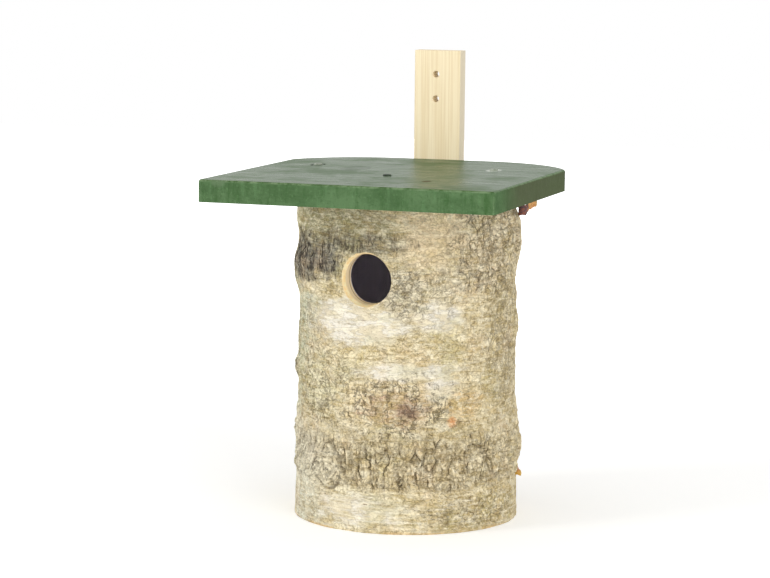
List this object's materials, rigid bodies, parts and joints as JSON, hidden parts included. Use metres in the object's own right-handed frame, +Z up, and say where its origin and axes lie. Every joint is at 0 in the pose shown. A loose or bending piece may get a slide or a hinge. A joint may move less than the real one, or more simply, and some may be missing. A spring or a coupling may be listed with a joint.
{
  "type": "log nest box",
  "caption": "Nest box made from a hollowed birch log with its bark on, a round entrance, a flat green painted roof board and a hanging batten up the back.",
  "frame": {"origin": "on the log's axis at its foot, in the plane that the nest box stands on", "axes": "+Z up along the log, -Y out of the round entrance, +Y out of the back of the hanging batten"},
  "size_m": [0.187, 0.2125, 0.296],
  "materials": {
    "birch_wood": "matte",
    "birch_bark": "matte",
    "green_paint": "semi-gloss",
    "pine_batten": "matte"
  },
  "bodies": {
    "root": {"bark_curl": "birch_bark", "bark_flake": "birch_bark", "corky_ridge_bark": "birch_bark", "floor_disc": "birch_wood", "foot_bark": "birch_bark", "hanging_batten": "pine_batten", "log_wall": "birch_wood", "low_knot": "birch_bark", "papery_bark": "birch_bark", "roof_board": "green_paint", "scaly_patch_left": "birch_bark", "scaly_patch_right": "birch_bark", "shoulder_bark": "birch_bark", "side_knot": "birch_bark", "waist_bark": "birch_bark"}
  },
  "joints": []
}
